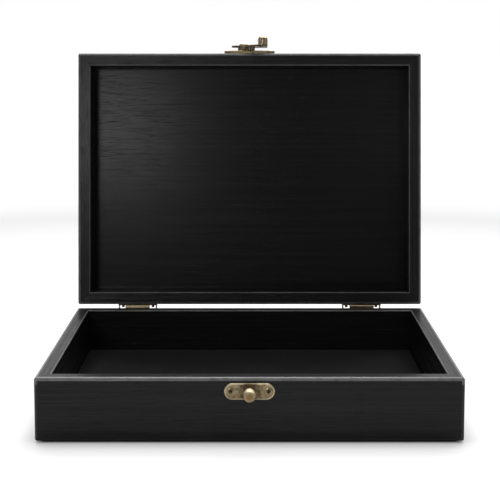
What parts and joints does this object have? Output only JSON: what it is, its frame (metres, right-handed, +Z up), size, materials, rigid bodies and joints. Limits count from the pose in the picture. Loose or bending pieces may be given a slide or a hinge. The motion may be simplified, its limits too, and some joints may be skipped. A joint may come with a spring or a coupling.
{
  "type": "hinged display case",
  "caption": "Shallow wooden case for pins: a padded tray, a deep hinged lid with stop hinges and a swing latch that hooks on a stud.",
  "frame": {"origin": "middle of the underside, in the plane that it stands on", "axes": "+X to the right along the front, +Y from the front to the hinges, +Z up"},
  "size_m": [0.25, 0.2481, 0.2352],
  "materials": {
    "black_wood": "black stain under a satin lacquer, fine grain showing",
    "black_panel": "black stain, satin, fine straight grain",
    "underside_felt": "black felt",
    "pad_foam": "dense grey foam",
    "pad_cloth": "black velvet, short pile",
    "antique_brass": "antiqued brass, dark in the hollows and bright on the edges",
    "dark_brass": "darkened brass",
    "screw_brass": "antiqued brass"
  },
  "bodies": {
    "tray": {"base_front_rail": "black_wood", "base_back_rail": "black_wood", "base_left_rail": "black_wood", "base_right_rail": "black_wood", "bottom_panel": "black_panel", "underside_felt": "underside_felt", "pad_foam": "pad_foam", "pad_cover": "pad_cloth", "left_hinge_base_leaf": "antique_brass", "right_hinge_base_leaf": "antique_brass", "left_hinge_pin": "dark_brass", "right_hinge_pin": "dark_brass", "left_hinge_base_screws": "screw_brass", "right_hinge_base_screws": "screw_brass", "strike_plate": "antique_brass", "strike_stud": "antique_brass", "strike_screws": "screw_brass"},
    "lid": {"lid_front_rail": "black_wood", "lid_back_rail": "black_wood", "lid_left_rail": "black_wood", "lid_right_rail": "black_wood", "lid_panel": "black_panel", "left_hinge_lid_leaf": "dark_brass", "right_hinge_lid_leaf": "dark_brass", "left_hinge_lid_screws": "screw_brass", "right_hinge_lid_screws": "screw_brass", "latch_plate": "antique_brass", "latch_screws": "screw_brass", "latch_rivet": "antique_brass", "latch_washer": "dark_brass"},
    "latch_arm": {"latch_lever": "antique_brass", "latch_knob": "antique_brass", "latch_peg": "dark_brass"}
  },
  "joints": [
    {"name": "lid_hinge", "type": "hinge", "parent": "tray", "child": "lid", "pos_m": [0, 0.09325, 0.0391], "axis": [1, 0, 0], "range_deg": [0, 96]},
    {"name": "latch_swing", "type": "hinge", "parent": "lid", "child": "latch_arm", "pos_m": [-0.0043, 0.12032, 0.22202], "axis": [0, 0.1045, 0.9945], "range_deg": [-39.78, 35]}
  ]
}
